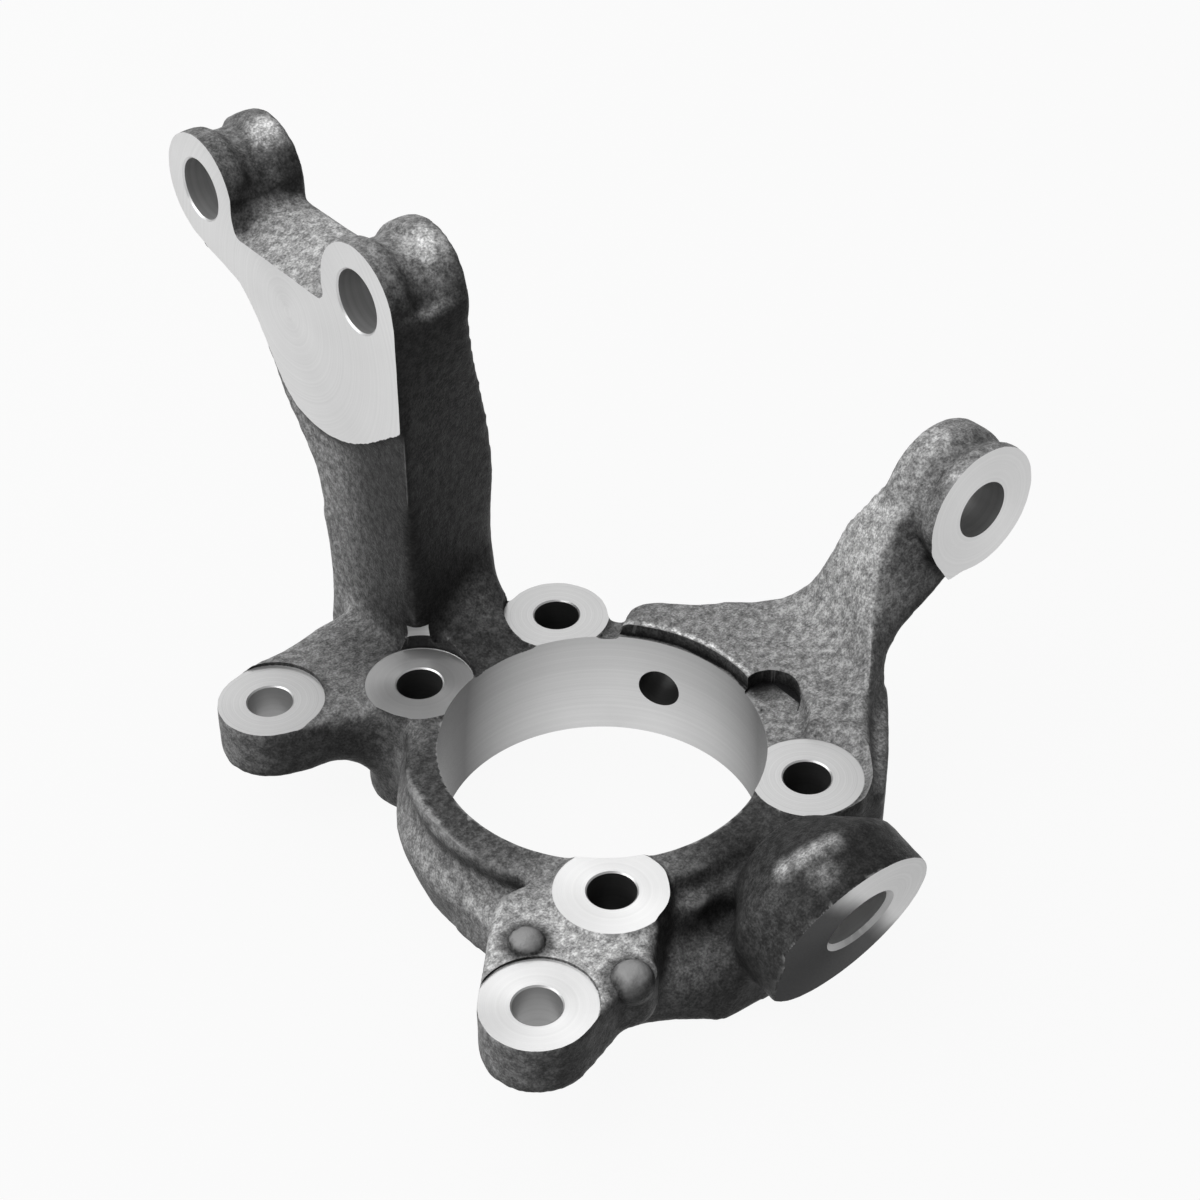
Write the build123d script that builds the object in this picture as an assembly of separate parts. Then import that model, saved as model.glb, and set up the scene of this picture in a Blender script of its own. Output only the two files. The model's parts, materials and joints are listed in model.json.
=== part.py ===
from build123d import *
import math
import os

os.makedirs("parts", exist_ok=True)

# Frame: the origin is on the hub bore axis, in the outboard face that the hub seats on.
# Z runs inboard along the bore, Y points to the strut mount, X points to the steering arm.

# Hub bore, its outboard seat face at Z 0 and the cast body behind it
bore_r = 45.0
body_depth = 33.4
wall_t = 9.5
belly_t = 3.0
seat_rise = 1.0

# Four hub bolts on one circle, mirrored about the Y axis
bolt_circle_r = 56.7
upper_bolt_deg = 25.5
lower_bolt_deg = 36.5
bolt_hole_r = 6.5
pad_rise = 1.0
pad_r = 14.8
bolt_boss_r = 15.8
spot_gap = 0.5
spot_height = 8.5
web_inset = 1.0
upper_bolt = (bolt_circle_r * math.sin(math.radians(upper_bolt_deg)),
              bolt_circle_r * math.cos(math.radians(upper_bolt_deg)))
lower_bolt = (bolt_circle_r * math.sin(math.radians(lower_bolt_deg)),
              -bolt_circle_r * math.cos(math.radians(lower_bolt_deg)))
hub_bolts = [(sx * x, y) for x, y in (upper_bolt, lower_bolt) for sx in (1, -1)]

# Two brake caliper ears on the side away from the steering arm
ear_upper = (-60.3, 72.6)
ear_lower = (-71.6, -63.3)
ear_r = 14.8
ear_hole_r = 6.3
ear_drop = 0.5
ear_t = 16.5
arm_rise = 0.3
arm_edge = 0.6
pip_r = 5.5
pip_rise = 1.4
pip_edge = 1.2
pips = [(-55.4, -38.7), (-45.6, -70.8)]

# Strut mount: a machined pad facing -X with two bolt eyes on a line along Y
strut_x = -20.0
eye_lower_y = 76.8
eye_pitch = 76.4
eye_rise = 111.5
eye_r = 16.5
eye_hole_r = 8.9
eye_t = 25.0
eye_cheek_t = 7.0
eye_waist = 2.4
eye_edge = 0.8
saddle_slope = 3.7
pad_step = 1.2
pad_t = 3.0
foot_x, foot_w = -10.0, 26.0
web_rise = 109.0

# Steering arm: a boss facing -Y with a tapered hole for the tie-rod stud
tie_x, tie_y, tie_rise = 113.0, -28.0, 43.0
tie_boss_r = 19.6
tie_boss_t = 21.0
tie_hole_r = 8.7
tie_flange_t = 4.5
tie_waist = 2.0
tie_back_t = 13.0
tie_edge = 2.0
stud_taper = 1 / 16

# Lower boss: a clamp bore for the ball joint stud, tilted outboard
ball_x, ball_y, ball_drop = 13.0, -88.5, 6.0
ball_tilt = 15.0
ball_boss_r = 26.3
ball_hole_r = 9.8
ball_depth = 22.0
barrel_t = 14.0
barrel_root_r, barrel_root_t = 12.0, 30.0
ball_offset_x, ball_offset_z = 3.7, 1.4

# Steering arm's turn in plan, from the X axis towards -Y
arm_turn = 17.5

# Raised plate between the bore and the steering arm, and the wheel speed sensor hole
plate_rise = 5.0
plate_bed_t = 21.0
lip_r = 46.3
sensor_deg = 29.4
sensor_drop = 15.8
sensor_r = 6.2
sensor_wall_t = 3.8
sensor_end_r = 67.0

top = body_depth
pad_z = top + pad_rise
ear_z = top - ear_drop
eye_z = top + eye_rise
web_z = top + web_rise
tie_z = top + tie_rise
wall_r = bore_r + wall_t


def cyl(at, direction, radius, length):
    return extrude(Plane(origin=at, z_dir=direction) * Circle(radius), length)


def post(x, y, radius, z0, z1):
    return cyl((x, y, z0), (0, 0, 1), radius, z1 - z0)


def outline(*runs):
    """A closed face: a run of two points is a line, a longer one a smooth curve."""
    return make_face([Line(*run) if len(run) == 2 else Spline(*run) for run in runs])


def slab(face, z0, z1):
    return extrude(Plane.XY.offset(z0) * face, z1 - z0)


def hull_slab(circles, z0, z1, soft=0):
    rims = [Pos(x, y) * Circle(r).edge() for x, y, r in circles]
    solid = extrude(Plane.XY.offset(z0) * make_hull(rims), z1 - z0)
    return chamfer(solid.edges().group_by(Axis.Z)[-1], soft) if soft else solid


# Ring wall around the bore: a raised edge, a groove under it and a belly below
ring_side = make_face(
    Polyline((bore_r - 10, 0), (wall_r - 1, 0), (wall_r, 2), (wall_r + belly_t, 12),
             (wall_r + belly_t, 16), (wall_r - 1.5, top - 7), (wall_r, top - 4),
             (wall_r, top - 1), (wall_r - 1, top), (bore_r - 10, top), close=True))
body = revolve(Plane.XZ * ring_side, Axis.Z)
body += hull_slab([(-36, -10, 20.5), (-43, -34, 12.5)], 3, 19, 2)

# Bolt bosses, and the webs that tie them to the ring
for x, y in hub_bolts:
    body += post(x, y, bolt_boss_r, 0, top - 2)
    body += post(x, y, pad_r, 0, pad_z)
(upper_x, upper_y), (lower_x, lower_y) = upper_bolt, lower_bolt
web_r = pad_r - web_inset
body += hull_slab([(upper_x, upper_y, web_r), (-upper_x, upper_y, web_r)], seat_rise, top)
body += hull_slab([(lower_x, lower_y, web_r), (-lower_x, lower_y, web_r)], seat_rise, top - 5)

# Upper ear arm runs to the column root, lower ear arm to the lower bolt boss
arm_top = top + arm_rise
for arm in ([(*ear_upper, ear_r), (-26, 84, 11), (-34, 56, 8)],
            [(*ear_lower, ear_r), (-53, -41, 13), (-43, -56, 13)]):
    body += hull_slab(arm, ear_z - ear_t, arm_top, arm_edge)
body += post(pips[1][0], pips[1][1] + 1.3, pip_r + 1, ear_z - ear_t, arm_top)
for x, y in pips:
    pip = post(x, y, pip_r, arm_top - 2, arm_top + pip_rise)
    body += chamfer(pip.edges().group_by(Axis.Z)[-1], pip_edge)

# Outboard foot between the lower ear arm and the ball joint boss
body += hull_slab([(-29, -57, 11), (-15, -62, 14), (12, -62, 15)], seat_rise, top - 14, 5)
body += hull_slab([(*lower_bolt, bolt_boss_r), (18, -52, 9)], top - 20, top, 1)

# Ball joint boss: a tilted barrel with a conical root
tilt = math.radians(ball_tilt)
ball_at = Vector(ball_x, ball_y, top - ball_drop)
ball_dir = Vector(0, -math.cos(tilt), -math.sin(tilt))
ball_up = Vector(0, -math.sin(tilt), math.cos(tilt))
barrel_at = ball_at - Vector(ball_offset_x, 0, 0) - ball_up * ball_offset_z
barrel_side = make_face(Polyline((0, 0), (ball_boss_r, 0), (ball_boss_r, barrel_t),
                                 (barrel_root_r, barrel_root_t), (0, barrel_root_t), close=True))
body += Plane(origin=barrel_at, x_dir=(1, 0, 0), z_dir=-ball_dir) * revolve(
    Plane.XZ * barrel_side, Axis.Z)

# Body under the raised plate, then the plate itself with its lip along the bore
body += slab(outline([(20, 30), (30, 33)], [(30, 33), (41, 35), (54, 28), (66, 20), (80, 6)],
                     [(80, 6), (78, -31)], [(78, -31), (69, -41), (58, -52), (47, -62)],
                     [(47, -62), (20, -62)], [(20, -62), (20, 30)]), top - plate_bed_t, top)
plate = slab(outline([(30, 30), (40, 37)], [(40, 37), (47, 35.5), (54, 29), (66, 20), (80, 8)],
                     [(80, 8), (76, -25)], [(76, -25), (70, -32), (59, -43)], [(59, -43), (46, -58)],
                     [(46, -58), (38, -63)], [(38, -63), (30, -60)], [(30, -60), (30, 30)]),
             top - 2, top + plate_rise)
pocket = slab(outline([(30, -10), (41, -18)], [(41, -18), (54, -21)], [(54, -21), (47, -32)],
                      [(47, -32), (38, -38)], [(38, -38), (25, -30)], [(25, -30), (30, -10)]),
              0, tie_z)
body += plate - post(0, 0, lip_r, 0, tie_z) - post(47.5, -16, 8, 0, tie_z) - pocket

# Steering arm blade: an elevation outline swept across it, bounded by a plan outline
rise = outline([(52, top - 16), (52, top + 5)], [(52, top + 5), (69, top + 5.5)],
               [(69, top + 5.5), (75, top + 10), (80, top + 21), (86, top + 35), (95, top + 48),
                (107, top + 60)],
               [(107, top + 60), (116, top + 60)], [(116, top + 60), (116, top + 27)],
               [(116, top + 27), (106, top + 20.5)], [(106, top + 20.5), (87, top + 7.5)],
               [(87, top + 7.5), (81, top + 1), (73, top - 10), (62, top - 16)],
               [(62, top - 16), (52, top - 16)])
arm_dir = Vector(1, 0, 0).rotate(Axis.Z, -arm_turn)
across = Vector(0, -1, 0).rotate(Axis.Z, -arm_turn)
swept = extrude(Plane((0, 0, 0), x_dir=arm_dir, z_dir=across) * rise, 60, both=True)
back = [(113, -7), (104, -7), (97, -5), (89, 2.5), (80, 12.5), (68, 20.5), (56, 25.5)]
low_front = [(56, -43), (70, -36), (79, -32), (92, -31), (113, -30)]
high_front = [(56, -28), (70, -18), (79, -9), (88, -15), (113, -20)]
plan = loft([Plane.XY.offset(z) * outline(*zip(front, front[1:]), [front[-1], back[0]], back[:2],
                                          back[1:], [back[-1], front[0]])
             for z, front in ((top, low_front), (top + 50, high_front))], ruled=True)
plan += extrude(plan.faces().sort_by(Axis.Z)[-1], 20)
plan += extrude(plan.faces().sort_by(Axis.Z)[0], 22)
body += swept & plan
body += cyl((tie_x, tie_y, tie_z), (0, 1, 0), tie_boss_r, tie_flange_t)
body += cyl((tie_x, tie_y, tie_z), (0, 1, 0), tie_boss_r - tie_waist, tie_boss_t)
tie_back = cyl((tie_x, tie_y + tie_boss_t - tie_back_t, tie_z), (0, 1, 0), tie_boss_r, tie_back_t)
body += chamfer(tie_back.edges(), tie_edge)

# Strut column and tongue: a side outline, narrowed by the slanted front and outer walls
eye_upper_y = eye_lower_y + eye_pitch
side = outline([(59, seat_rise), (59, eye_z)], [(59, eye_z), (eye_lower_y, eye_z)],
               [(eye_lower_y, eye_z), (eye_lower_y + 22, web_z)],
               [(eye_lower_y + 22, web_z), (eye_upper_y - 20, web_z)],
               [(eye_upper_y - 20, web_z), (eye_upper_y, eye_z)], [(eye_upper_y, eye_z), (168, top + 104)],
               [(168, top + 104), (156, top + 91)], [(156, top + 91), (147, top + 91.5)],
               [(147, top + 91.5), (139, top + 88), (128.5, top + 75.5), (118, top + 57),
                (108.5, top + 44), (105, top + 30)],
               [(105, top + 30), (105, seat_rise)], [(105, seat_rise), (59, seat_rise)])
fronts = [(0, 20, 73), (top + 5, 20, 72.4), (top + 38, 19, 71.6), (top + 57, 17, 70),
          (top + 77, 12, 66.6), (top + 98, 6, 61.5), (top + 125, 3.5, 60)]
wedge = loft([Plane.XY.offset(z) * make_face(
    Polyline((strut_x + pad_step, 59.8), (x, y), (x - 1.5, 190), (strut_x + pad_step, 190),
             close=True)) for z, x, y in fronts])
column = extrude(Plane.YZ.offset(-40) * side, 80) & wedge
saddle = make_face(Polyline((strut_x - 5, web_z - 2 * saddle_slope), (strut_x + 4, web_z - saddle_slope),
                            (strut_x + 14, web_z), (strut_x - 5, web_z), close=True))
body += column
for y in (eye_lower_y, eye_upper_y):
    body += cyl((strut_x, y, eye_z), (1, 0, 0), eye_r, eye_cheek_t)
    body += cyl((strut_x, y, eye_z), (1, 0, 0), eye_r - eye_waist, eye_t)
    far_cheek = cyl((strut_x + 16, y, eye_z), (1, 0, 0), eye_r, eye_t - 16)
    body += chamfer(far_cheek.edges().group_by(Axis.X)[-1], eye_edge)
strut_pad = outline([(60, eye_z), (60, top + 79)],
                    [(60, top + 79), (72, top + 70.5), (86, top + 62.5), (101, top + 59.7),
                     (112, top + 61.5)],
                    [(112, top + 61.5), (118, top + 67), (129, top + 82.5), (137, top + 90)],
                    [(137, top + 90), (153, top + 94)], [(153, top + 94), (167, eye_z - 7)],
                    [(167, eye_z - 7), (eye_upper_y, eye_z)],
                    [(eye_upper_y, eye_z), (eye_upper_y - 19, web_z - 5)],
                    [(eye_upper_y - 19, web_z - 5), (eye_lower_y + 21, web_z - 5)],
                    [(eye_lower_y + 21, web_z - 5), (eye_lower_y, eye_z)],
                    [(eye_lower_y, eye_z), (60, eye_z)])
body += extrude(Plane.YZ.offset(strut_x) * strut_pad, pad_step + pad_t)
body -= extrude(Plane.XZ.offset(-eye_lower_y - eye_r) * saddle, 2 * eye_r - eye_pitch)

# Foot of the column, drawn forward between the two upper bolt bosses
foot = outline([(90, top + 30), (76, top + 30)], [(76, top + 30), (65, top + 12), (46, top)],
               [(46, top), (46, top - 10)], [(46, top - 10), (90, top - 10)],
               [(90, top - 10), (90, top + 30)])
body += extrude(Plane.YZ.offset(foot_x) * foot, foot_w)

# Boss around the outer end of the sensor hole
sensor_z = top - sensor_drop
sensor_dir = Vector(math.cos(math.radians(sensor_deg)), math.sin(math.radians(sensor_deg)), 0)
body += cyl(sensor_dir * (bore_r + 5) + Vector(0, 0, sensor_z), sensor_dir, sensor_r + sensor_wall_t,
            sensor_end_r - bore_r - 5)

# Machining
body -= post(0, 0, bore_r, -1, top + 1)
for x, y in hub_bolts:
    body -= post(x, y, bolt_hole_r, -1, top + 30)
    body -= post(x, y, pad_r + spot_gap, pad_z, pad_z + spot_height)
for x, y in (ear_upper, ear_lower):
    body -= post(x, y, ear_hole_r, 0, top + 10)
    body -= post(x, y, ear_r - 0.2, ear_z, top + 20)
for y in (eye_lower_y, eye_upper_y):
    body -= cyl((strut_x - 1, y, eye_z), (1, 0, 0), eye_hole_r, eye_t + 10)
body -= cyl(ball_at + ball_dir, -ball_dir, ball_hole_r, ball_depth + 1)
body -= cyl((0, 0, sensor_z), sensor_dir, sensor_r, 90)
stud = Plane(origin=(tie_x, tie_y, tie_z), z_dir=(0, 1, 0)) * Circle(tie_hole_r)
small = Plane(origin=(tie_x, tie_y + tie_boss_t + 1, tie_z), z_dir=(0, 1, 0)) * Circle(
    tie_hole_r - (tie_boss_t + 1) * stud_taper)
body -= loft([stud, small])
body -= extrude(Plane(origin=(tie_x - 6, tie_y - 30, tie_z - 10), z_dir=(0, 1, 0)) *
                Rectangle(44, 60), 30)

export_step(body, "parts/knuckle_casting.step")
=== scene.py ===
import json
import math

import bmesh
import bpy
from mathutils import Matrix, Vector, noise


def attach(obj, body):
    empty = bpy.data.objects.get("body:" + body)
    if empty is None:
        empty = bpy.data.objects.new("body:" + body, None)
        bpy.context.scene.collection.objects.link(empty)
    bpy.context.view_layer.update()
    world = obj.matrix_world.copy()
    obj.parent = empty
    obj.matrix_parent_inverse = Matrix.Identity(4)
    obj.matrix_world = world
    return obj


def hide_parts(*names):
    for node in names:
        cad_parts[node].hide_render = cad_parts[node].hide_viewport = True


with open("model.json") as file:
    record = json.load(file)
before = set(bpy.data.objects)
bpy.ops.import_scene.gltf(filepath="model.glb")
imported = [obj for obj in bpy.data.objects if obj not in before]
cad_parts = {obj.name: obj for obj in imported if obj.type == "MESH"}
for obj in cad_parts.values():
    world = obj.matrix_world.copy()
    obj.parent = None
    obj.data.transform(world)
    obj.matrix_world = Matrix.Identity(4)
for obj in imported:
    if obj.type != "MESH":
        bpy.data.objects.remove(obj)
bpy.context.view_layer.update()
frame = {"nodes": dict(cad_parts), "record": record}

mounts = {m["name"]: m for m in frame["record"]["mounts"]}
origin, x, y, z = Vector((0, 0, 0)), Vector((1, 0, 0)), Vector((0, 1, 0)), Vector((0, 0, 1))

# Raw casting. The knuckle is poured in ductile iron in a sand mould, as one piece with solid
# bosses. Every face that is machined later starts with some extra metal on it, and the bores
# start closed.
stock = 0.002
plug_overlap = 0.0015


def place_of(mount):
    """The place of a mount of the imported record."""
    return Vector(mounts[mount]["pos_m"])


def size_of(mount, size):
    """One size of a mount, in metres."""
    return mounts[mount]["dims"][size] / 1000


def leave_stock(casting, point, normal):
    """Raises the flat face through point by the machining stock."""
    face = [f for f in casting.faces if f.normal.dot(normal) > 0.999
            and abs((f.calc_center_median() - point).dot(normal)) < 5e-5]
    raised = bmesh.ops.extrude_face_region(casting, geom=face)["geom"]
    bmesh.ops.delete(casting, geom=face, context="FACES_ONLY")
    bmesh.ops.translate(casting, vec=normal * stock,
                        verts=[v for v in raised if isinstance(v, bmesh.types.BMVert)])


def block(mesh, near, far):
    """Adds the closed block between two outlines with the same number of corners."""
    near = [mesh.verts.new(corner) for corner in near]
    far = [mesh.verts.new(corner) for corner in far]
    mesh.faces.new(near[::-1])
    mesh.faces.new(far)
    for i in range(len(near)):
        j = (i + 1) % len(near)
        mesh.faces.new((near[i], near[j], far[j], far[i]))


def spoke(degrees, across=x, up=y):
    """The direction at so many degrees from the first direction to the second."""
    return math.cos(math.radians(degrees)) * across + math.sin(math.radians(degrees)) * up


def turned_bar(mesh, start, end, start_r, end_r=None, sides=96):
    """Adds a closed round bar, or a cone where the end has its own radius."""
    along = (end - start).normalized()
    across = along.orthogonal().normalized()
    rim = [spoke(360 * i / sides, across, along.cross(across)) for i in range(sides)]
    block(mesh, [start + start_r * out for out in rim],
          [end + (start_r if end_r is None else end_r) * out for out in rim])


hub_bore_r = size_of("hub_bore", "r_mm")
body_depth = size_of("hub_bore", "length_mm")
pad_z = body_depth + 0.001
bolt_hole_r = size_of("hub_bolts_upper", "hole_r_mm")
hub_bolts = [Vector((side * size_of(pair, "spacing_x_mm") / 2, place_of(pair).y, 0))
             for pair in ("hub_bolts_upper", "hub_bolts_lower") for side in (1, -1)]
lower_right_bolt = hub_bolts[2]
lower_left_bolt = hub_bolts[3]
ear_z = body_depth - 0.0005
ear_t = size_of("caliper_hole_upper", "length_mm")
ear_hole_r = size_of("caliper_hole_upper", "r_mm")
ears = [Vector((*place_of(hole).xy, ear_z)) for hole in ("caliper_hole_upper", "caliper_hole_lower")]
strut_face = place_of("strut_pad")
eye_t = 0.025
eye_hole_r = size_of("strut_bolts", "hole_r_mm")
between_eyes = Vector((strut_face.x, *place_of("strut_bolts").yz))
eyes = [between_eyes + side * size_of("strut_bolts", "spacing_x_mm") / 2 * y for side in (1, -1)]
tie_face = place_of("tie_rod_face")
tie_boss_t = size_of("tie_rod_taper", "length_mm")
tie_hole_r = size_of("tie_rod_taper", "r_mm")
tie_hole = place_of("tie_rod_taper")
ball_face = place_of("ball_joint_face")
ball_out = Vector(mounts["ball_joint_bore"]["axis"])
ball_hole_r = size_of("ball_joint_bore", "r_mm")
ball_depth = size_of("ball_joint_bore", "length_mm")
ball_mouth = place_of("ball_joint_bore") + ball_out * ball_depth / 2
sensor_mid = place_of("sensor_bore")
sensor_out = Vector(mounts["sensor_bore"]["axis"])
sensor_r = size_of("sensor_bore", "r_mm")
sensor_half = size_of("sensor_bore", "length_mm") / 2

casting = bmesh.new()
casting.from_mesh(frame["nodes"]["knuckle_casting"].data)
bmesh.ops.remove_doubles(casting, verts=casting.verts, dist=1e-6)
for point, normal in ((origin, -z), (pad_z * z, z), (ear_z * z, z),
                      (strut_face, -x), (tie_face, -y), (ball_face, ball_out)):
    leave_stock(casting, point, normal)
plugs = [(-stock * z, body_depth * z, hub_bore_r),
         (tie_hole - stock * y, tie_hole + tie_boss_t * y, tie_hole_r),
         (ball_mouth + stock * ball_out, ball_mouth - (ball_depth + 0.001) * ball_out, ball_hole_r),
         (sensor_mid - (sensor_half + stock) * sensor_out, sensor_mid + sensor_half * sensor_out, sensor_r)]
plugs += [(bolt - stock * z, bolt + (pad_z + stock) * z, bolt_hole_r) for bolt in hub_bolts]
plugs += [(ear - (ear_t - 0.0005) * z, ear + stock * z, ear_hole_r) for ear in ears]
plugs += [(eye - stock * x, eye + eye_t * x, eye_hole_r) for eye in eyes]
for start, end, hole_r in plugs:
    turned_bar(casting, start, end, hole_r + plug_overlap)

# Thin forms. The lip and hook of the raised plate, the lower corner of the tie-rod face and the web
# under the upper caliper arm are cast with the rest. The lip and the hook are made too full here,
# and trimmed to their walls below.
lip_r = 0.0463
hook_r = 0.008
hook = Vector((0.0475, -0.016, 0))
plate_z = body_depth + 0.005
trim_stock = 0.0007
for centre, radius, first, last in ((origin, lip_r, -12, 47), (hook, hook_r, -12, 140)):
    rim = [centre + (radius + trim_stock) * spoke(turn) for turn in range(first, last, 4)]
    block(casting, [corner + (body_depth - 0.0004) * z for corner in (centre, *rim)],
          [corner + plate_z * z for corner in (centre, *rim)])

blade_t = 0.009
blade_taper = 0.6
blade_y = tie_face.y - stock
blade_corner = [Vector((0.112, blade_y, 0.0764)), Vector((0.0918, blade_y, 0.0701)),
                Vector((0.1005, blade_y, 0.0532)), Vector((0.1068, blade_y, 0.055))]
block(casting, blade_corner,
      [corner.lerp(blade_corner[0], blade_taper) + blade_t * y for corner in blade_corner])

web_t = Vector((0.0044, 0.0122, 0))
web_end = Vector((-0.0628, 0.0578, 0))
web_slope = -0.358
web_outline = ((-0.063, 0.0203), (-0.0587, 0.0189), (-0.0544, 0.0176), (-0.0498, 0.0157), (-0.0455, 0.013),
               (-0.0415, 0.0085), (-0.039, 0.004), (-0.039, 0.024), (-0.063, 0.024))
under_arm = [Vector((at_x, web_end.y + web_slope * (at_x - web_end.x), at_z)) for at_x, at_z in web_outline]
block(casting, under_arm, [corner + web_t for corner in under_arm])
bmesh.ops.recalc_face_normals(casting, faces=casting.faces)

knuckle = bpy.data.objects.new("knuckle_casting_skin", bpy.data.meshes.new("knuckle_casting_skin"))
bpy.context.scene.collection.objects.link(knuckle)
casting.to_mesh(knuckle.data)
casting.free()

# Sand mould. The pattern's corners are rounded and its inside corners are filleted, so that the
# sand doesn't break away when the pattern is drawn. The lip, the hook and the stock that the
# cutters will meet keep more of their shape.
mould_cell = 0.00125
least_rounding = 0.45
round_face_r = 0.0148
strut_pad_low_z = 0.092
tie_face_reach = 0.03
ball_face_reach = 0.036
voxels = knuckle.modifiers.new("mould cells", "REMESH")
voxels.mode = "VOXEL"
voxels.voxel_size = mould_cell


def settle(piece):
    """Applies all the modifiers of the piece."""
    shaped = piece.evaluated_get(bpy.context.evaluated_depsgraph_get())
    mesh = bpy.data.meshes.new_from_object(shaped)
    piece.modifiers.clear()
    piece.data = mesh


settle(knuckle)


def disc_distance(at, centre, face_z):
    """How far a point is from the stock on the face of a bolt pad or a caliper ear."""
    out = math.hypot(at.x - centre.x, at.y - centre.y) - round_face_r
    return max(out, face_z - at.z, at.z - face_z - stock)


def machined_distance(at):
    """How far a point of the skin is from the nearest face that will be machined."""
    saddle_corner = 0.007 - math.hypot(at.y - 0.1365, at.z - 0.1432)
    near = [at.z + stock + 0.001]
    near += [disc_distance(at, bolt, pad_z) for bolt in hub_bolts]
    near += [disc_distance(at, ear, ear_z) for ear in ears]
    near.append(max(at.x - strut_face.x - 0.0012, strut_pad_low_z - at.z, saddle_corner))
    near.append(max(at.y - tie_face.y, (at - tie_hole).length - tie_face_reach))
    near.append(max((ball_face - at).dot(ball_out), (at - ball_mouth).length - ball_face_reach))
    return min(near)


def spared(at):
    """The share of the rounding that a point gets beside the faces that will be machined."""
    return min(1, max(least_rounding, (machined_distance(at) - 0.001) / 0.003))


def crisp(at):
    """The share of the rounding that a point gets at the lip and the hook of the plate."""
    by_lip = abs(math.hypot(at.x, at.y) - lip_r) < 0.003 and at.x > 0.02 and at.z > body_depth
    by_hook = math.hypot(at.x - hook.x, at.y - hook.y) < 0.01 and at.z > body_depth
    return 0.4 if by_lip or by_hook else 1


large_fillets = [(Vector((0.004, 0.062, 0.05)), 0.032), (Vector((0.013, -0.062, 0.022)), 0.026),
                 (Vector((0.083, -0.012, 0.045)), 0.022), (Vector((0.082, 0.009, 0.046)), 0.024),
                 (Vector((-0.028, 0.088, 0.041)), 0.026), (Vector((-0.014, 0.137, 0.1432)), 0.009),
                 (Vector((-0.041, 0.044, 0.022)), 0.022), (Vector((-0.034, -0.066, 0.018)), 0.022)]


def flowing(at):
    """How far a point is drawn into the large fillets of the column, the arms and the ball boss."""
    column_corner = max(0, 1 - math.hypot(at.x + 0.0188, at.y - 0.0598) / 0.016)
    column_corner *= min(1, max(0, (0.088 - at.z) / 0.012))
    column_corner *= min(1, max(0, (at.z - 0.02) / 0.02))
    near = [1 - (centre - at).length / reach for centre, reach in large_fillets]
    return min(1, 2.5 * max(column_corner, *near))


def soften(piece, rounds, share):
    """Rounds the piece by the share of each point."""
    weights = piece.vertex_groups.new(name="softened")
    for vertex in piece.data.vertices:
        weights.add([vertex.index], share(vertex.co), "REPLACE")
    fillets = piece.modifiers.new("pattern fillets", "SMOOTH")
    fillets.factor = 0.5
    fillets.iterations = rounds
    fillets.vertex_group = weights.name
    settle(piece)
    piece.vertex_groups.clear()


def in_open_skin(at):
    """The share that falls to nothing beside the faces that will be machined."""
    return (spared(at) - least_rounding) / (1 - least_rounding)


soften(knuckle, 12, lambda at: spared(at) * crisp(at))
soften(knuckle, 90, lambda at: in_open_skin(at) * crisp(at) * flowing(at))

# Mould wall. The wet sand leaves the iron slightly uneven. Two round pips stand on the flat top of
# the lower caliper arm, and a thin bead runs along the ring's rim. All are the iron's own form,
# with nothing fixed to it.
uneven = 0.0001
skin_z = body_depth + 0.0003
lower_arm_corner = Vector((-0.038, -0.03))
pad_clear_r = 0.0165
pips = [(Vector((-0.0612, -0.0456, skin_z - 0.0018)), 0.0052),
        (Vector((-0.0484, -0.0715, skin_z - 0.0015)), 0.0057)]
bead_rise = 0.0009
bead_w = 0.0017
bead_route = [Vector((-0.0463, 0.0369)), Vector((-0.0494, 0.0254)), Vector((-0.0533, 0.0085)),
              Vector((-0.0548, -0.0048)), Vector((-0.0541, -0.0148)), Vector((-0.0558, -0.0264)),
              Vector((-0.0572, -0.031))]
bead = [a.lerp(b, step / 10) for a, b in zip(bead_route, bead_route[1:]) for step in range(10)]


def on_bead(at):
    """How near a point is to the crest of the bead on the ring's rim, 1 on it and 0 away from it."""
    if at.x > -0.04 or abs(at.z - body_depth) > 0.004:
        return 0
    return math.exp(-(min((spot - at.xy).length for spot in bead) / bead_w) ** 2)


places = [vertex.co.copy() for vertex in knuckle.data.vertices]
normals = [vertex.normal.copy() for vertex in knuckle.data.vertices]
for place, normal in zip(places, normals):
    place += normal * uneven * (noise.noise(place * 220) + 0.7 * noise.noise(place * 500))
    on_lower_arm = place.x < lower_arm_corner.x and place.y < lower_arm_corner.y
    if on_lower_arm and (place.xy - lower_left_bolt.xy).length > pad_clear_r:
        place.z = min(place.z, skin_z)
    if normal.z > 0.3:
        place.z += bead_rise * on_bead(place)
    for pip, pip_r in pips:
        if (place - pip).length < pip_r:
            place.xyz = pip + (place - pip).normalized() * pip_r
knuckle.data.vertices.foreach_set("co", [c for place in places for c in place])
knuckle.data.update()

# Cast skin. The iron comes out of the sand with a dark grey mottled scale. Faces turned up to the
# lamps take lit tones as painted light and the rest shaded tones; the hollows take painted shade,
# and the upper edges are lightened, partly as wear and partly as painted highlight.
# Painted light and shade: the lit and shaded tones of the mottled skin, an edge grey, and the hollow grey.
shaded_skin_tones = ((0.4, 0.01), (0.5, 0.018), (0.6, 0.03))
lit_skin_tones = ((0.38, 0.18), (0.5, 0.41), (0.62, 0.78))
wear_and_highlight_grey = (0.3, 0.3, 0.3, 1)
hollow_shade_grey = (0.012, 0.012, 0.013, 1)


def group(name, inputs, outputs):
    """Starts a shader node group with named sockets."""
    tree = bpy.data.node_groups.new(name, "ShaderNodeTree")
    for direction, sockets in (("INPUT", inputs), ("OUTPUT", outputs)):
        for socket, kind in sockets.items():
            tree.interface.new_socket(name=socket, in_out=direction, socket_type="NodeSocket" + kind)
    return tree, tree.nodes.new("NodeGroupInput").outputs, tree.nodes.new("NodeGroupOutput").inputs


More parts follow.
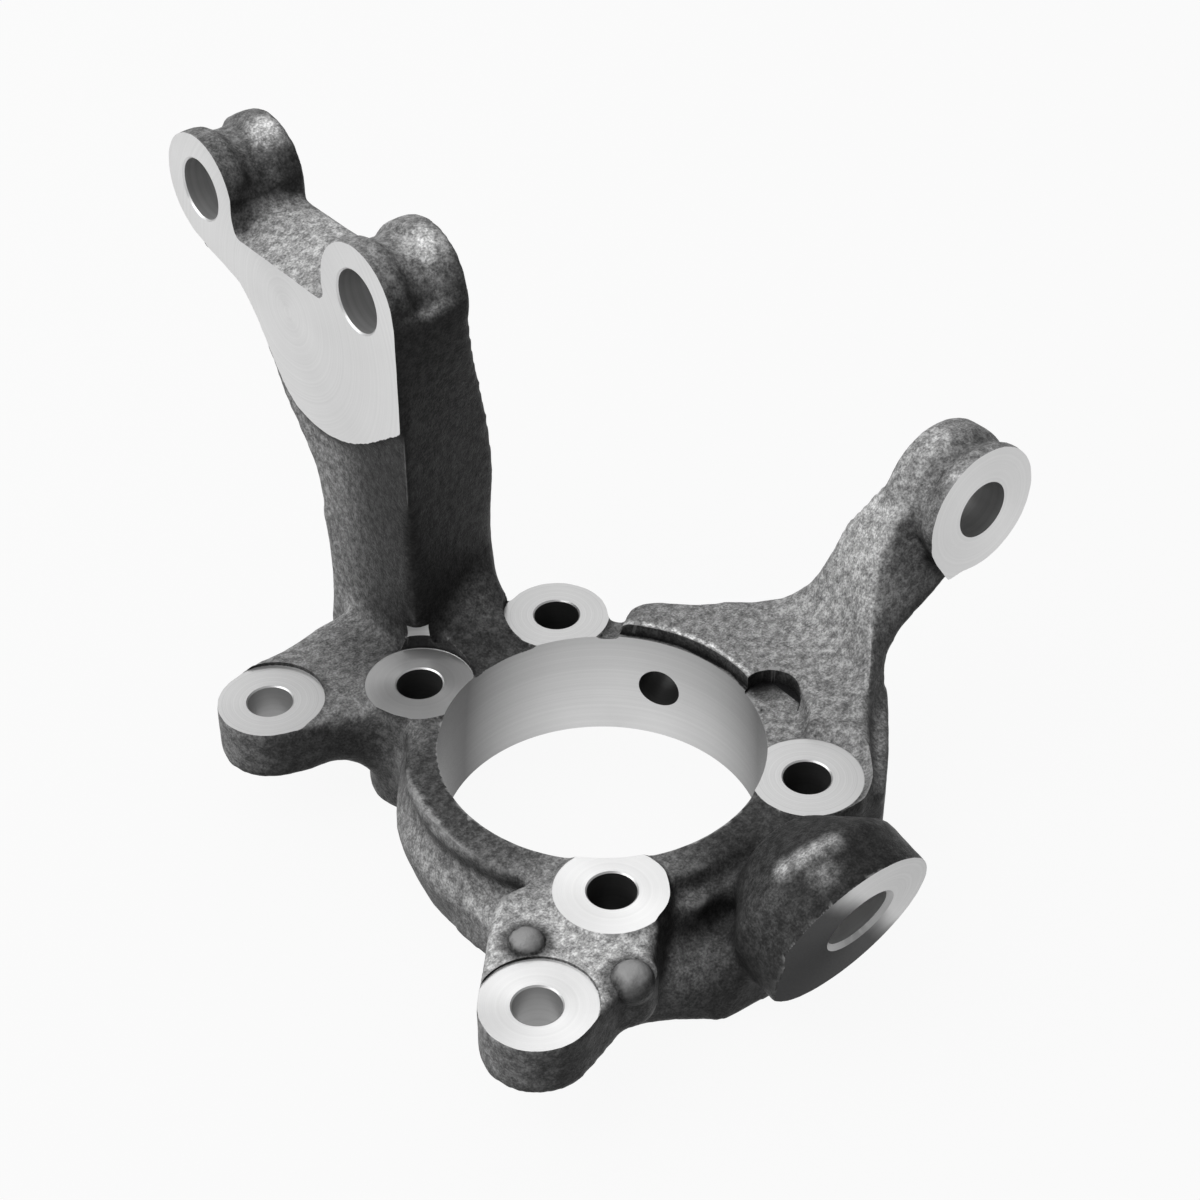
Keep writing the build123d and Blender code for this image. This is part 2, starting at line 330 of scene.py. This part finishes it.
def add(tree, kind, **values):
    """Adds a node with its settings and inputs, by name or as i0, i1 by number, and links sockets."""
    node = tree.nodes.new("ShaderNode" + kind)
    inputs = {}
    for name, value in values.items():
        if name in node.bl_rna.properties:
            setattr(node, name, value)
        else:
            inputs[name.replace("_", " ")] = value
    for name, value in inputs.items():
        by_number = name[0] == "i" and name[1:].isdigit()
        socket = node.inputs[int(name[1:]) if by_number else name]
        if isinstance(value, bpy.types.NodeSocket):
            tree.links.new(value, socket)
        else:
            socket.default_value = value
    return node


def ramp(tree, value, *stops):
    """Adds a colour ramp of grey stops, each a place and a grey."""
    node = add(tree, "ValToRGB", Fac=value)
    for place, grey in stops[1:-1]:
        node.color_ramp.elements.new(place).color = (grey, grey, grey, 1)
    for element, (place, grey) in ((node.color_ramp.elements[0], stops[0]),
                                   (node.color_ramp.elements[-1], stops[-1])):
        element.position, element.color = place, (grey, grey, grey, 1)
    return node.outputs["Color"]


def blend(tree, share, under, over, **settings):
    """Mixes two colours, each a colour or a socket, by a share."""
    node = add(tree, "Mix", data_type="RGBA", Factor=share, i6=under, i7=over, **settings)
    return node.outputs[2]


cast_grain, given, wanted = group("cast grain", {"Grain per metre": "Float"},
                                  {"Grain": "Float", "Sand": "Float", "Patches": "Float"})
spot = add(cast_grain, "TexCoord").outputs["Object"]
lumps = add(cast_grain, "TexNoise", Vector=spot, Scale=given["Grain per metre"], Detail=3.0, Roughness=0.6)
fine_scale = add(cast_grain, "Math", operation="MULTIPLY", i0=given["Grain per metre"], i1=3.6)
fine = add(cast_grain, "TexNoise", Vector=spot, Scale=fine_scale.outputs[0], Detail=3.0, Roughness=0.6)
patches = add(cast_grain, "TexNoise", Vector=spot, Scale=28.0, Detail=3.0)
cast_grain.links.new(lumps.outputs["Fac"], wanted["Grain"])
cast_grain.links.new(fine.outputs["Fac"], wanted["Sand"])
cast_grain.links.new(patches.outputs["Fac"], wanted["Patches"])

skin = bpy.data.materials.new("sand cast skin")
skin.use_nodes = True
tree = skin.node_tree
iron = tree.nodes["Principled BSDF"]
iron.inputs["Metallic"].default_value = 0.15
iron.inputs["Specular IOR Level"].default_value = 0.15
grain = add(tree, "Group", node_tree=cast_grain, Grain_per_metre=420.0)
coarse = add(tree, "Math", operation="MULTIPLY", i0=grain.outputs["Grain"], i1=0.5)
mottle = add(tree, "Math", operation="MULTIPLY_ADD", i0=grain.outputs["Sand"], i1=0.5, i2=coarse.outputs[0])
shape = add(tree, "NewGeometry")
# Painted light: the lit tones take over as the face turns up and to the left, toward the light.
toward_light = add(tree, "VectorMath", operation="DOT_PRODUCT", i0=shape.outputs["Normal"], i1=(-0.4, 0, 0.917))
facing_light = add(tree, "MapRange", interpolation_type="SMOOTHSTEP", Value=toward_light.outputs["Value"],
             From_Min=-0.05, From_Max=1.0)
pale = add(tree, "Attribute", attribute_name="painted light share")
paled = add(tree, "Math", operation="MULTIPLY", i0=facing_light.outputs[0], i1=pale.outputs["Fac"])
lit_and_shaded_tone = blend(tree, paled.outputs[0], ramp(tree, mottle.outputs[0], *shaded_skin_tones),
             ramp(tree, mottle.outputs[0], *lit_skin_tones), clamp_factor=False)
# Wear and painted highlight: sharp convex edges that face the light are lightened towards a pale grey.
broken = add(tree, "TexNoise", Scale=350.0, Detail=3.0, Vector=add(tree, "TexCoord").outputs["Object"])
ragged = add(tree, "Math", operation="MULTIPLY_ADD", i0=broken.outputs["Fac"], i1=0.06, i2=-0.03)
sharp = add(tree, "Math", operation="ADD", i0=shape.outputs["Pointiness"], i1=ragged.outputs[0])
worn_and_lit_edges = add(tree, "MapRange", Value=sharp.outputs[0], From_Min=0.525, From_Max=0.57)
edge_wear_and_highlight_share = add(tree, "Math", operation="MULTIPLY", i0=worn_and_lit_edges.outputs[0], i1=facing_light.outputs[0])
with_wear_and_highlights = blend(tree, edge_wear_and_highlight_share.outputs[0], lit_and_shaded_tone, wear_and_highlight_grey)
# Painted shade: the hollows are darkened towards near black.
hollow_shade = add(tree, "MapRange", Value=shape.outputs["Pointiness"], From_Min=0.49, From_Max=0.45, To_Max=0.6)
tree.links.new(blend(tree, hollow_shade.outputs[0], with_wear_and_highlights, hollow_shade_grey), iron.inputs["Base Color"])
rough = add(tree, "MapRange", Value=mottle.outputs[0], From_Min=0.35, From_Max=0.65,
            To_Min=0.58, To_Max=0.42)
tree.links.new(rough.outputs[0], iron.inputs["Roughness"])
relief = add(tree, "Bump", Strength=0.8, Distance=0.0005, Height=mottle.outputs[0])
tree.links.new(relief.outputs["Normal"], iron.inputs["Normal"])

# Machined finishes. A cutter leaves bright iron with its feed marks in rings about the spindle,
# under a thin film of coolant. The drilled holes are near black, the hub bore darker away from one side
# and the ball joint's face dark on its lower side, all painted shade, as is a darker copy of the finish.
# Painted shade: the grey of the ball joint's face and the way down it along which it darkens.
shade_grey = (0.014, 0.014, 0.015, 1)
shade_way = (-0.8, 0.15, -0.58)
# Painted shade: the hub bore keeps its light on this side and darkens away from it.
bore_lit_side = (0.731, 0.682, 0)

tool_marks, given, wanted = group(
    "tool marks", {"Centre": "Vector", "Axis": "Vector", "Feeds per metre": "Float"}, {"Marks": "Float"})
spot = add(tool_marks, "TexCoord").outputs["Object"]
arm = add(tool_marks, "VectorMath", operation="SUBTRACT", i0=spot, i1=given["Centre"])
height = add(tool_marks, "VectorMath", operation="DOT_PRODUCT", i0=arm.outputs[0], i1=given["Axis"])
lift = add(tool_marks, "VectorMath", operation="SCALE", i0=given["Axis"], Scale=height.outputs["Value"])
radial = add(tool_marks, "VectorMath", operation="SUBTRACT", i0=arm.outputs[0], i1=lift.outputs[0])
radius = add(tool_marks, "VectorMath", operation="LENGTH", i0=radial.outputs[0])
feed = add(tool_marks, "CombineXYZ", X=radius.outputs["Value"], Y=height.outputs["Value"])
marks = add(tool_marks, "TexNoise", Vector=feed.outputs[0], Scale=given["Feeds per metre"], Detail=3.0,
            Roughness=0.6)
tool_marks.links.new(marks.outputs["Fac"], wanted["Marks"])


def machined_finish(name, feeds, greys, metallic, anisotropy, shade_from=None, lit_side=None):
    """A turned surface: rings of feed marks under a thin uneven film, in three greys, with painted shade
    where asked.
    """
    material = bpy.data.materials.new(name)
    material.use_nodes = True
    tree = material.node_tree
    steel = tree.nodes["Principled BSDF"]
    steel.inputs["Metallic"].default_value = metallic
    steel.inputs["Anisotropic"].default_value = anisotropy
    spot = add(tree, "TexCoord").outputs["Object"]
    centre = add(tree, "Attribute", attribute_name="spindle centre").outputs["Vector"]
    axis = add(tree, "Attribute", attribute_name="spindle axis").outputs["Vector"]
    arm = add(tree, "VectorMath", operation="SUBTRACT", i0=spot, i1=centre)
    swirl = add(tree, "VectorMath", operation="CROSS_PRODUCT", i0=axis, i1=arm.outputs[0])
    along = add(tree, "VectorMath", operation="NORMALIZE", i0=swirl.outputs[0])
    tree.links.new(along.outputs[0], steel.inputs["Tangent"])
    turned = add(tree, "Group", node_tree=tool_marks, Centre=centre, Axis=axis, Feeds_per_metre=feeds)
    film = add(tree, "Group", node_tree=cast_grain, Grain_per_metre=900.0)
    metal = ramp(tree, turned.outputs["Marks"], *zip((0.3, 0.5, 0.7), greys))
    dull = add(tree, "MapRange", Value=film.outputs["Patches"], From_Min=0.3, From_Max=0.75,
               To_Min=0.9, To_Max=1.0).outputs[0]
    # Painted shade: the wall darkens away from its lit side.
    if lit_side:
        out = add(tree, "VectorMath", operation="NORMALIZE", i0=arm.outputs[0])
        facing = add(tree, "VectorMath", operation="DOT_PRODUCT", i0=out.outputs[0], i1=lit_side)
        bore_shade = add(tree, "MapRange", Value=facing.outputs["Value"], From_Min=0.35, From_Max=0.97,
                    To_Min=0.15, To_Max=1.0)
        dull = add(tree, "Math", operation="MULTIPLY", i0=dull, i1=bore_shade.outputs[0]).outputs[0]
    colour = blend(tree, 1.0, metal, dull, blend_type="MULTIPLY")
    # Painted shade down the face from the mouth, with less metallic sheen in it.
    if shade_from:
        from_mouth = add(tree, "VectorMath", operation="SUBTRACT", i0=spot, i1=shade_from)
        down = add(tree, "VectorMath", operation="DOT_PRODUCT", i0=from_mouth.outputs[0], i1=shade_way)
        run = add(tree, "Math", operation="MULTIPLY_ADD", i0=film.outputs["Patches"], i1=0.016,
                  i2=down.outputs["Value"])
        face_shade = add(tree, "MapRange", interpolation_type="SMOOTHSTEP", Value=run.outputs[0],
                  From_Min=0.002, From_Max=0.012)
        colour = blend(tree, face_shade.outputs[0], colour, shade_grey)
        unshaded_metallic = add(tree, "Math", operation="MULTIPLY_ADD", i0=face_shade.outputs[0], i1=-metallic, i2=metallic)
        tree.links.new(unshaded_metallic.outputs[0], steel.inputs["Metallic"])
        steel.inputs["Specular IOR Level"].default_value = 0.03
    tree.links.new(colour, steel.inputs["Base Color"])
    rough = add(tree, "MapRange", Value=film.outputs["Sand"], From_Min=0.3, From_Max=0.7,
                To_Min=0.3, To_Max=0.42)
    tree.links.new(rough.outputs[0], steel.inputs["Roughness"])
    rings = add(tree, "Bump", Strength=0.08, Distance=0.0001, Height=turned.outputs["Marks"])
    tree.links.new(rings.outputs["Normal"], steel.inputs["Normal"])
    return material


bright = machined_finish("machined iron", 1100.0, (0.7, 0.74, 0.78), 0.85, 0.6)
bored = machined_finish("bored iron", 1100.0, (0.7, 0.74, 0.78), 0.85, 0.6, lit_side=bore_lit_side)
# Painted shade: the drilled holes are coloured near black.
drilled = machined_finish("drilled iron", 800.0, (0.06, 0.07, 0.08), 0.5, 0.3)
reamed = machined_finish("reamed iron", 800.0, (0.4, 0.44, 0.48), 0.6, 0.3)
# Painted shade: a darker copy of the machined finish, with finer marks, for faces that take less light.
shaded_machined = machined_finish("machined iron in painted shade", 2200.0, (0.46, 0.52, 0.58), 0.75, 0.2)
shaded_ball_face = machined_finish("ball face iron in painted shade", 1100.0, (0.52, 0.57, 0.62), 0.85, 0.6, shade_from=ball_mouth)
knuckle.data.materials.clear()
for finish in (skin, bright, bored, drilled, reamed, shaded_machined, shaded_ball_face):
    knuckle.data.materials.append(finish)

# Machining. Each cutter takes the stock off a face or opens a hole; the holes in the pads, ears and eyes
# and the ball joint's bore have the edge at their mouth broken. Round each pad and ear there is a narrow
# ledge in the dark skin, a hair above the spot face.
hair = 0.0001
ledge_h = 0.0045
clear_h = 0.0085
pad_r = 0.0153
pad_ledge_r = 0.0157
pad_flare_r = 0.0205
ear_r = 0.0152
ear_ledge_r = 0.0155
strut_mid = Vector((strut_face.x, 0.112, 0.125))
tie_taper = 1 / 16
outboard_cutter_r = 0.2
strut_cutter_r = 0.075
tie_cutter_r = 0.0275
ball_cutter_r = 0.045
above_all_z = 0.09


def cut(piece, finish, start, end, start_r, end_r=None, sides=128):
    """Cuts a round bar or cone out of the piece, and gives the cut faces the finish."""
    tool_mesh = bmesh.new()
    turned_bar(tool_mesh, start, end, start_r, end_r, sides)
    bmesh.ops.recalc_face_normals(tool_mesh, faces=tool_mesh.faces)
    bmesh.ops.triangulate(tool_mesh, faces=tool_mesh.faces)
    tool = bpy.data.objects.new("cutter", bpy.data.meshes.new("cutter"))
    tool_mesh.to_mesh(tool.data)
    tool_mesh.free()
    tool.data.materials.append(finish)
    bpy.context.scene.collection.objects.link(tool)
    boolean = piece.modifiers.new("cut", "BOOLEAN")
    boolean.operation = "DIFFERENCE"
    boolean.solver = "MANIFOLD"
    boolean.object = tool
    settle(piece)
    bpy.data.objects.remove(tool)


def break_edge(piece, finish, mouth, out, hole_r, width):
    """Cuts a short cone at the mouth of a hole."""
    cut(piece, finish, mouth + 0.0002 * out, mouth + (0.0002 - width) * out, hole_r + width, hole_r)


cut(knuckle, bright, -0.02 * z, origin, outboard_cutter_r)
cut(knuckle, skin, (pad_z + hair) * z, above_all_z * z, lip_r, sides=256)
cut(knuckle, skin, hook + skin_z * z, hook + 0.06 * z, hook_r)
cut(knuckle, bored, -0.01 * z, above_all_z * z, hub_bore_r, sides=256)
for bolt in hub_bolts:
    pad = bolt + pad_z * z
    ledge_end_r = pad_flare_r if bolt == lower_right_bolt else pad_ledge_r
    cut(knuckle, skin, pad + hair * z, pad + ledge_h * z, pad_ledge_r, ledge_end_r)
    by_column = bolt.x < 0 < bolt.y
    cut(knuckle, bright if by_column else skin, pad + (ledge_h - hair) * z, pad + clear_h * z, pad_ledge_r)
    cut(knuckle, drilled, bolt - 0.01 * z, pad + 0.03 * z, bolt_hole_r)
    # Painted shade: the right pads take the darker copy of the machined finish.
    cut(knuckle, bright if bolt.x < 0 else shaded_machined, pad, pad + 0.003 * z, pad_r)
    break_edge(knuckle, bright, pad, z, bolt_hole_r, 0.0006)
for ear in ears:
    cut(knuckle, skin, ear + hair * z, ear + 0.02 * z, ear_ledge_r)
    cut(knuckle, reamed, ear - 0.03 * z, ear + 0.03 * z, ear_hole_r)
    # Painted shade: the upper ear takes the darker copy of the machined finish.
    cut(knuckle, shaded_machined if ear.y > 0 else bright, ear, ear + 0.01 * z, ear_r)
    break_edge(knuckle, bright, ear, z, ear_hole_r, 0.0006)
cut(knuckle, bright, strut_mid - 0.01 * x, strut_mid, strut_cutter_r)
for eye in eyes:
    cut(knuckle, reamed, eye - 0.01 * x, eye + 0.04 * x, eye_hole_r)
    break_edge(knuckle, bright, eye, -x, eye_hole_r, 0.0007)
cut(knuckle, bright, tie_hole - 0.02 * y, tie_hole, tie_cutter_r)
cut(knuckle, reamed, tie_hole - 0.001 * y, tie_hole + 0.024 * y,
    tie_hole_r + 0.001 * tie_taper, tie_hole_r - 0.024 * tie_taper)
cut(knuckle, shaded_ball_face, ball_face + ball_out * 0.02, ball_face, ball_cutter_r)
cut(knuckle, bright, ball_mouth + ball_out * 0.01, ball_mouth - ball_out * ball_depth, ball_hole_r)
break_edge(knuckle, reamed, ball_mouth, ball_out, ball_hole_r, 0.0015)
cut(knuckle, drilled, sensor_mid.z * z, sensor_mid + sensor_out * 0.05, sensor_r)

spindles = [(sensor_mid, sensor_out, 0.0066, 0.03), (tie_hole, y, 0.03, 0.03),
            (ball_mouth, ball_out, 0.046, 0.026)]
spindles += [(bolt + pad_z * z, z, 0.0158, 0.04) for bolt in hub_bolts]
spindles += [(ear, z, 0.0158, 0.02) for ear in ears]
spindles += [(eye, x, 0.0095, 0.04) for eye in eyes]


def spindle_of(face):
    """The centre and the axis that a machined face was turned about."""
    at = face.calc_center_median()
    if all(abs(math.hypot(v.co.x, v.co.y) - hub_bore_r) < 5e-5 for v in face.verts):
        return origin, z
    if face.normal.z < -0.99 and abs(at.z) < hair:
        return origin, z
    if face.normal.x < -0.99 and abs(at.x - strut_face.x) < hair and at.z > 0.08:
        return strut_mid, x
    for centre, axis, reach, depth in spindles:
        along = (at - centre).dot(axis)
        if abs(along) < depth and (at - centre - along * axis).length < reach:
            return centre, axis
    return origin, z


# Painted light and shade on the skin. Each patch below has a place, a reach and how pale it is, where
# 0 is the shaded tone and 1 the lit tone. The painted highlights are small bright spots, laid over
# the patches.
painted_light_patches = [
    # Painted light on the lower caliper arm
    ((-0.068, -0.058, 0.034), 0.03, 0.95), ((-0.045, -0.058, 0.034), 0.024, 1.2),
    # Painted light on the raised plate and the tie-rod arm
    ((0.062, 0.0, 0.04), 0.04, 0.56), ((0.0841, -0.0068, 0.0603), 0.016, 2.0),
    ((0.092, -0.012, 0.076), 0.014, 1.2), ((0.11, -0.02, 0.1), 0.02, 0.5),
    # Painted shade in the groove behind the tie-rod face, and painted highlights on both sides of it
    ((0.0975, -0.0245, 0.0884), 0.004, 0), ((0.1031, -0.0199, 0.0911), 0.004, 0),
    ((0.1099, -0.0204, 0.0937), 0.004, 0), ((0.1174, -0.0218, 0.0955), 0.004, 0),
    ((0.1064, -0.0147, 0.0948), 0.005, 1.3), ((0.1009, -0.0266, 0.0918), 0.003, 1.2),
    # Painted light on the upper caliper arm, painted shade on the ring's rim
    ((-0.046, 0.07, 0.034), 0.026, 0.5), ((-0.049, 0.024, 0.034), 0.012, 0.08),
    ((-0.051, 0.0, 0.034), 0.012, 0.08), ((-0.046, -0.022, 0.034), 0.012, 0.08),
    # Painted light on the outer wall of the ring
    ((-0.058, 0.02, 0.016), 0.011, 0.9), ((-0.061, -0.002, 0.016), 0.011, 1),
    ((-0.06, -0.022, 0.016), 0.011, 1),
    # Painted shade round the ball boss and the upper pads, painted light by the lower right pad
    ((0, -0.055, 0.034), 0.024, 0.02), ((0.02, -0.08, 0.04), 0.03, 0),
    ((-0.012, -0.078, 0.018), 0.02, 0), ((0, 0.058, 0.036), 0.022, 0.1),
    ((0.03, 0.046, 0.034), 0.014, 0.2), ((0.055, -0.045, 0.04), 0.02, 0.6),
    # Painted light and shade on the column's side, lighter to the left, and painted light on the upper
    # ear's side
    ((-0.02, 0.112, 0.075), 0.02, 1.35), ((-0.02, 0.11, 0.045), 0.018, 1.2),
    ((-0.02, 0.066, 0.08), 0.02, 0), ((-0.018, 0.066, 0.045), 0.022, 0),
    ((-0.0709, 0.0623, 0.0258), 0.014, 0.9),
    # Painted light and shade on the strut eyes and the saddle between them
    ((0, 0.08, 0.16), 0.026, 0.45), ((0, 0.153, 0.16), 0.03, 0.3), ((0, 0.118, 0.14), 0.02, 0.95),
    ((0.0033, 0.138, 0.151), 0.009, 0), ((-0.001, 0.0616, 0.1513), 0.009, 1)]
painted_highlights = [
    # Painted highlight along the ball boss
    ((-0.005, -0.0776, 0.0492), 0.003, 1), ((-0.0012, -0.0795, 0.0522), 0.003, 1),
    ((0.0025, -0.0808, 0.054), 0.003, 0.9), ((0.0065, -0.0815, 0.0548), 0.003, 0.6),
    ((-0.0003, -0.0865, 0.0518), 0.004, 0.4),
    # Painted highlights on the foot of the column, the strut eyes and the saddle
    ((0.0051, 0.0619, 0.0427), 0.012, 0.35), ((-0.0004, 0.1461, 0.1605), 0.006, 1.6),
    ((-0.002, 0.069, 0.1594), 0.007, 1.6), ((-0.0084, 0.1299, 0.1454), 0.007, 1.3)]
rest_light = 0.3
rest_weight = 0.02
bead_highlight = 0.75
lip_highlight = 1.5
lip_highlight_band = 0.0016
rim_light_in_shade = 0.3
pip_shade = 0.13
pip_foot_shade = 0.25


def painted_lightness(at):
    """The painted light and shade of the skin at a point: the mean of the patches round it, or a painted
    highlight.
    """
    near = [(math.exp(-((Vector(patch) - at).length / reach) ** 2), pale) for patch, reach, pale in painted_light_patches]
    mean = rest_weight * rest_light + sum(weight * pale for weight, pale in near)
    mean /= rest_weight + sum(weight for weight, pale in near)
    for spot, reach, pale in painted_highlights:
        mean = max(mean, pale * math.exp(-((Vector(spot) - at).length / reach) ** 2))
    # Painted highlight along the crest of the bead.
    mean = max(mean, bead_highlight * on_bead(at))
    # Painted highlight on the lip's top edge, and painted shade on the walls of the lip and the hook.
    at_rim = at.z > plate_z - 0.002
    from_lip = math.hypot(at.x, at.y) - lip_r if at.x > 0.02 and at.z > body_depth else 1
    if hair < from_lip < lip_highlight_band and at_rim:
        mean = lip_highlight
    if abs(from_lip) < hair or abs((at.xy - hook.xy).length - hook_r) < hair:
        mean = rim_light_in_shade if at_rim else 0
    # Painted shade on the pips and round their feet.
    for pip, pip_r in pips:
        out = (at - pip).length / pip_r
        if out <= 1.02:
            mean *= pip_shade
        elif out < 1.6:
            mean *= pip_foot_shade + (1 - pip_foot_shade) * max(0, out - 1.25) / 0.35
    return mean


knuckle.data.shade_smooth()
knuckle.data.set_sharp_from_angle(angle=math.radians(35))
finished = bmesh.new()
finished.from_mesh(knuckle.data)
spindle_centre = finished.faces.layers.float_vector.new("spindle centre")
spindle_axis = finished.faces.layers.float_vector.new("spindle axis")
# Painted light and shade: each vertex keeps its share of the lit tones.
painted_light_layer = finished.verts.layers.float.new("painted light share")
for vertex in finished.verts:
    vertex[painted_light_layer] = painted_lightness(vertex.co)
for edge in finished.edges:
    if len({face.material_index for face in edge.link_faces}) > 1:
        edge.smooth = False
for face in finished.faces:
    if face.material_index > 0:
        face[spindle_centre], face[spindle_axis] = spindle_of(face)
finished.to_mesh(knuckle.data)
finished.free()

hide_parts("knuckle_casting")
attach(knuckle, "root")

# Floor. A sheet of plain white paper that the knuckle lies on, with its outboard face down.
# It shows as the white background, and keeps the knuckle's shadow.
floor_half = 3
floor_mesh = bpy.data.meshes.new("floor")
floor_mesh.from_pydata([(-floor_half, -floor_half, 0), (floor_half, -floor_half, 0),
                        (floor_half, floor_half, 0), (-floor_half, floor_half, 0)], [], [(0, 1, 2, 3)])
floor = bpy.data.objects.new("floor", floor_mesh)
bpy.context.scene.collection.objects.link(floor)
paper = bpy.data.materials.new("white paper")
paper.use_nodes = True
tree = paper.node_tree
diffuse = tree.nodes["Principled BSDF"]
diffuse.inputs["Base Color"].default_value = (0.4, 0.4, 0.4, 1)
diffuse.inputs["Roughness"].default_value = 0.9
rays = add(tree, "LightPath")
direct = add(tree, "Math", operation="MAXIMUM", i0=rays.outputs["Is Camera Ray"],
             i1=rays.outputs["Is Glossy Ray"])
share = add(tree, "Math", operation="MULTIPLY", i0=direct.outputs[0], i1=0.93)
seen = add(tree, "MixShader", Fac=share.outputs[0], i1=diffuse.outputs[0],
           i2=add(tree, "Emission", Strength=1.0).outputs[0])
tree.links.new(seen.outputs[0], tree.nodes["Material Output"].inputs["Surface"])
floor.data.materials.append(paper)

# Light. A large soft lamp stands high on the left and a broader one overhead behind the knuckle,
# in a room of even grey light.
world = bpy.data.worlds.new("room")
bpy.context.scene.world = world
world.use_nodes = True
world.node_tree.nodes["Background"].inputs["Color"].default_value = (1, 1, 1, 1)
world.node_tree.nodes["Background"].inputs["Strength"].default_value = 0.35


def soft_lamp(name, place, size, watts):
    """Adds a round lamp that looks at the knuckle."""
    lamp = bpy.data.objects.new(name, bpy.data.lights.new(name, "AREA"))
    lamp.data.shape = "DISK"
    lamp.data.size = size
    lamp.data.energy = watts
    lamp.location = place
    lamp.rotation_euler = (-Vector(place)).to_track_quat("-Z", "Y").to_euler()
    bpy.context.scene.collection.objects.link(lamp)


soft_lamp("key lamp", (-0.9, 0.5, 1.3), 1.8, 20)
soft_lamp("top lamp", (0.9, 1.2, 1.4), 2.4, 15)

# Camera. It looks down on the inboard side at about 38 degrees, from the ball joint's side,
# with a short telephoto lens.
camera = bpy.data.objects.new("camera", bpy.data.cameras.new("camera"))
camera.data.sensor_width = 36
camera.data.lens = 73.5
camera.location = (-0.3138, -0.3868, 0.4804)
camera.rotation_euler = Vector((0.492, 0.608, -0.623)).to_track_quat("-Z", "Y").to_euler()
bpy.context.scene.collection.objects.link(camera)
bpy.context.scene.camera = camera
bpy.context.scene.view_settings.view_transform = "Standard"
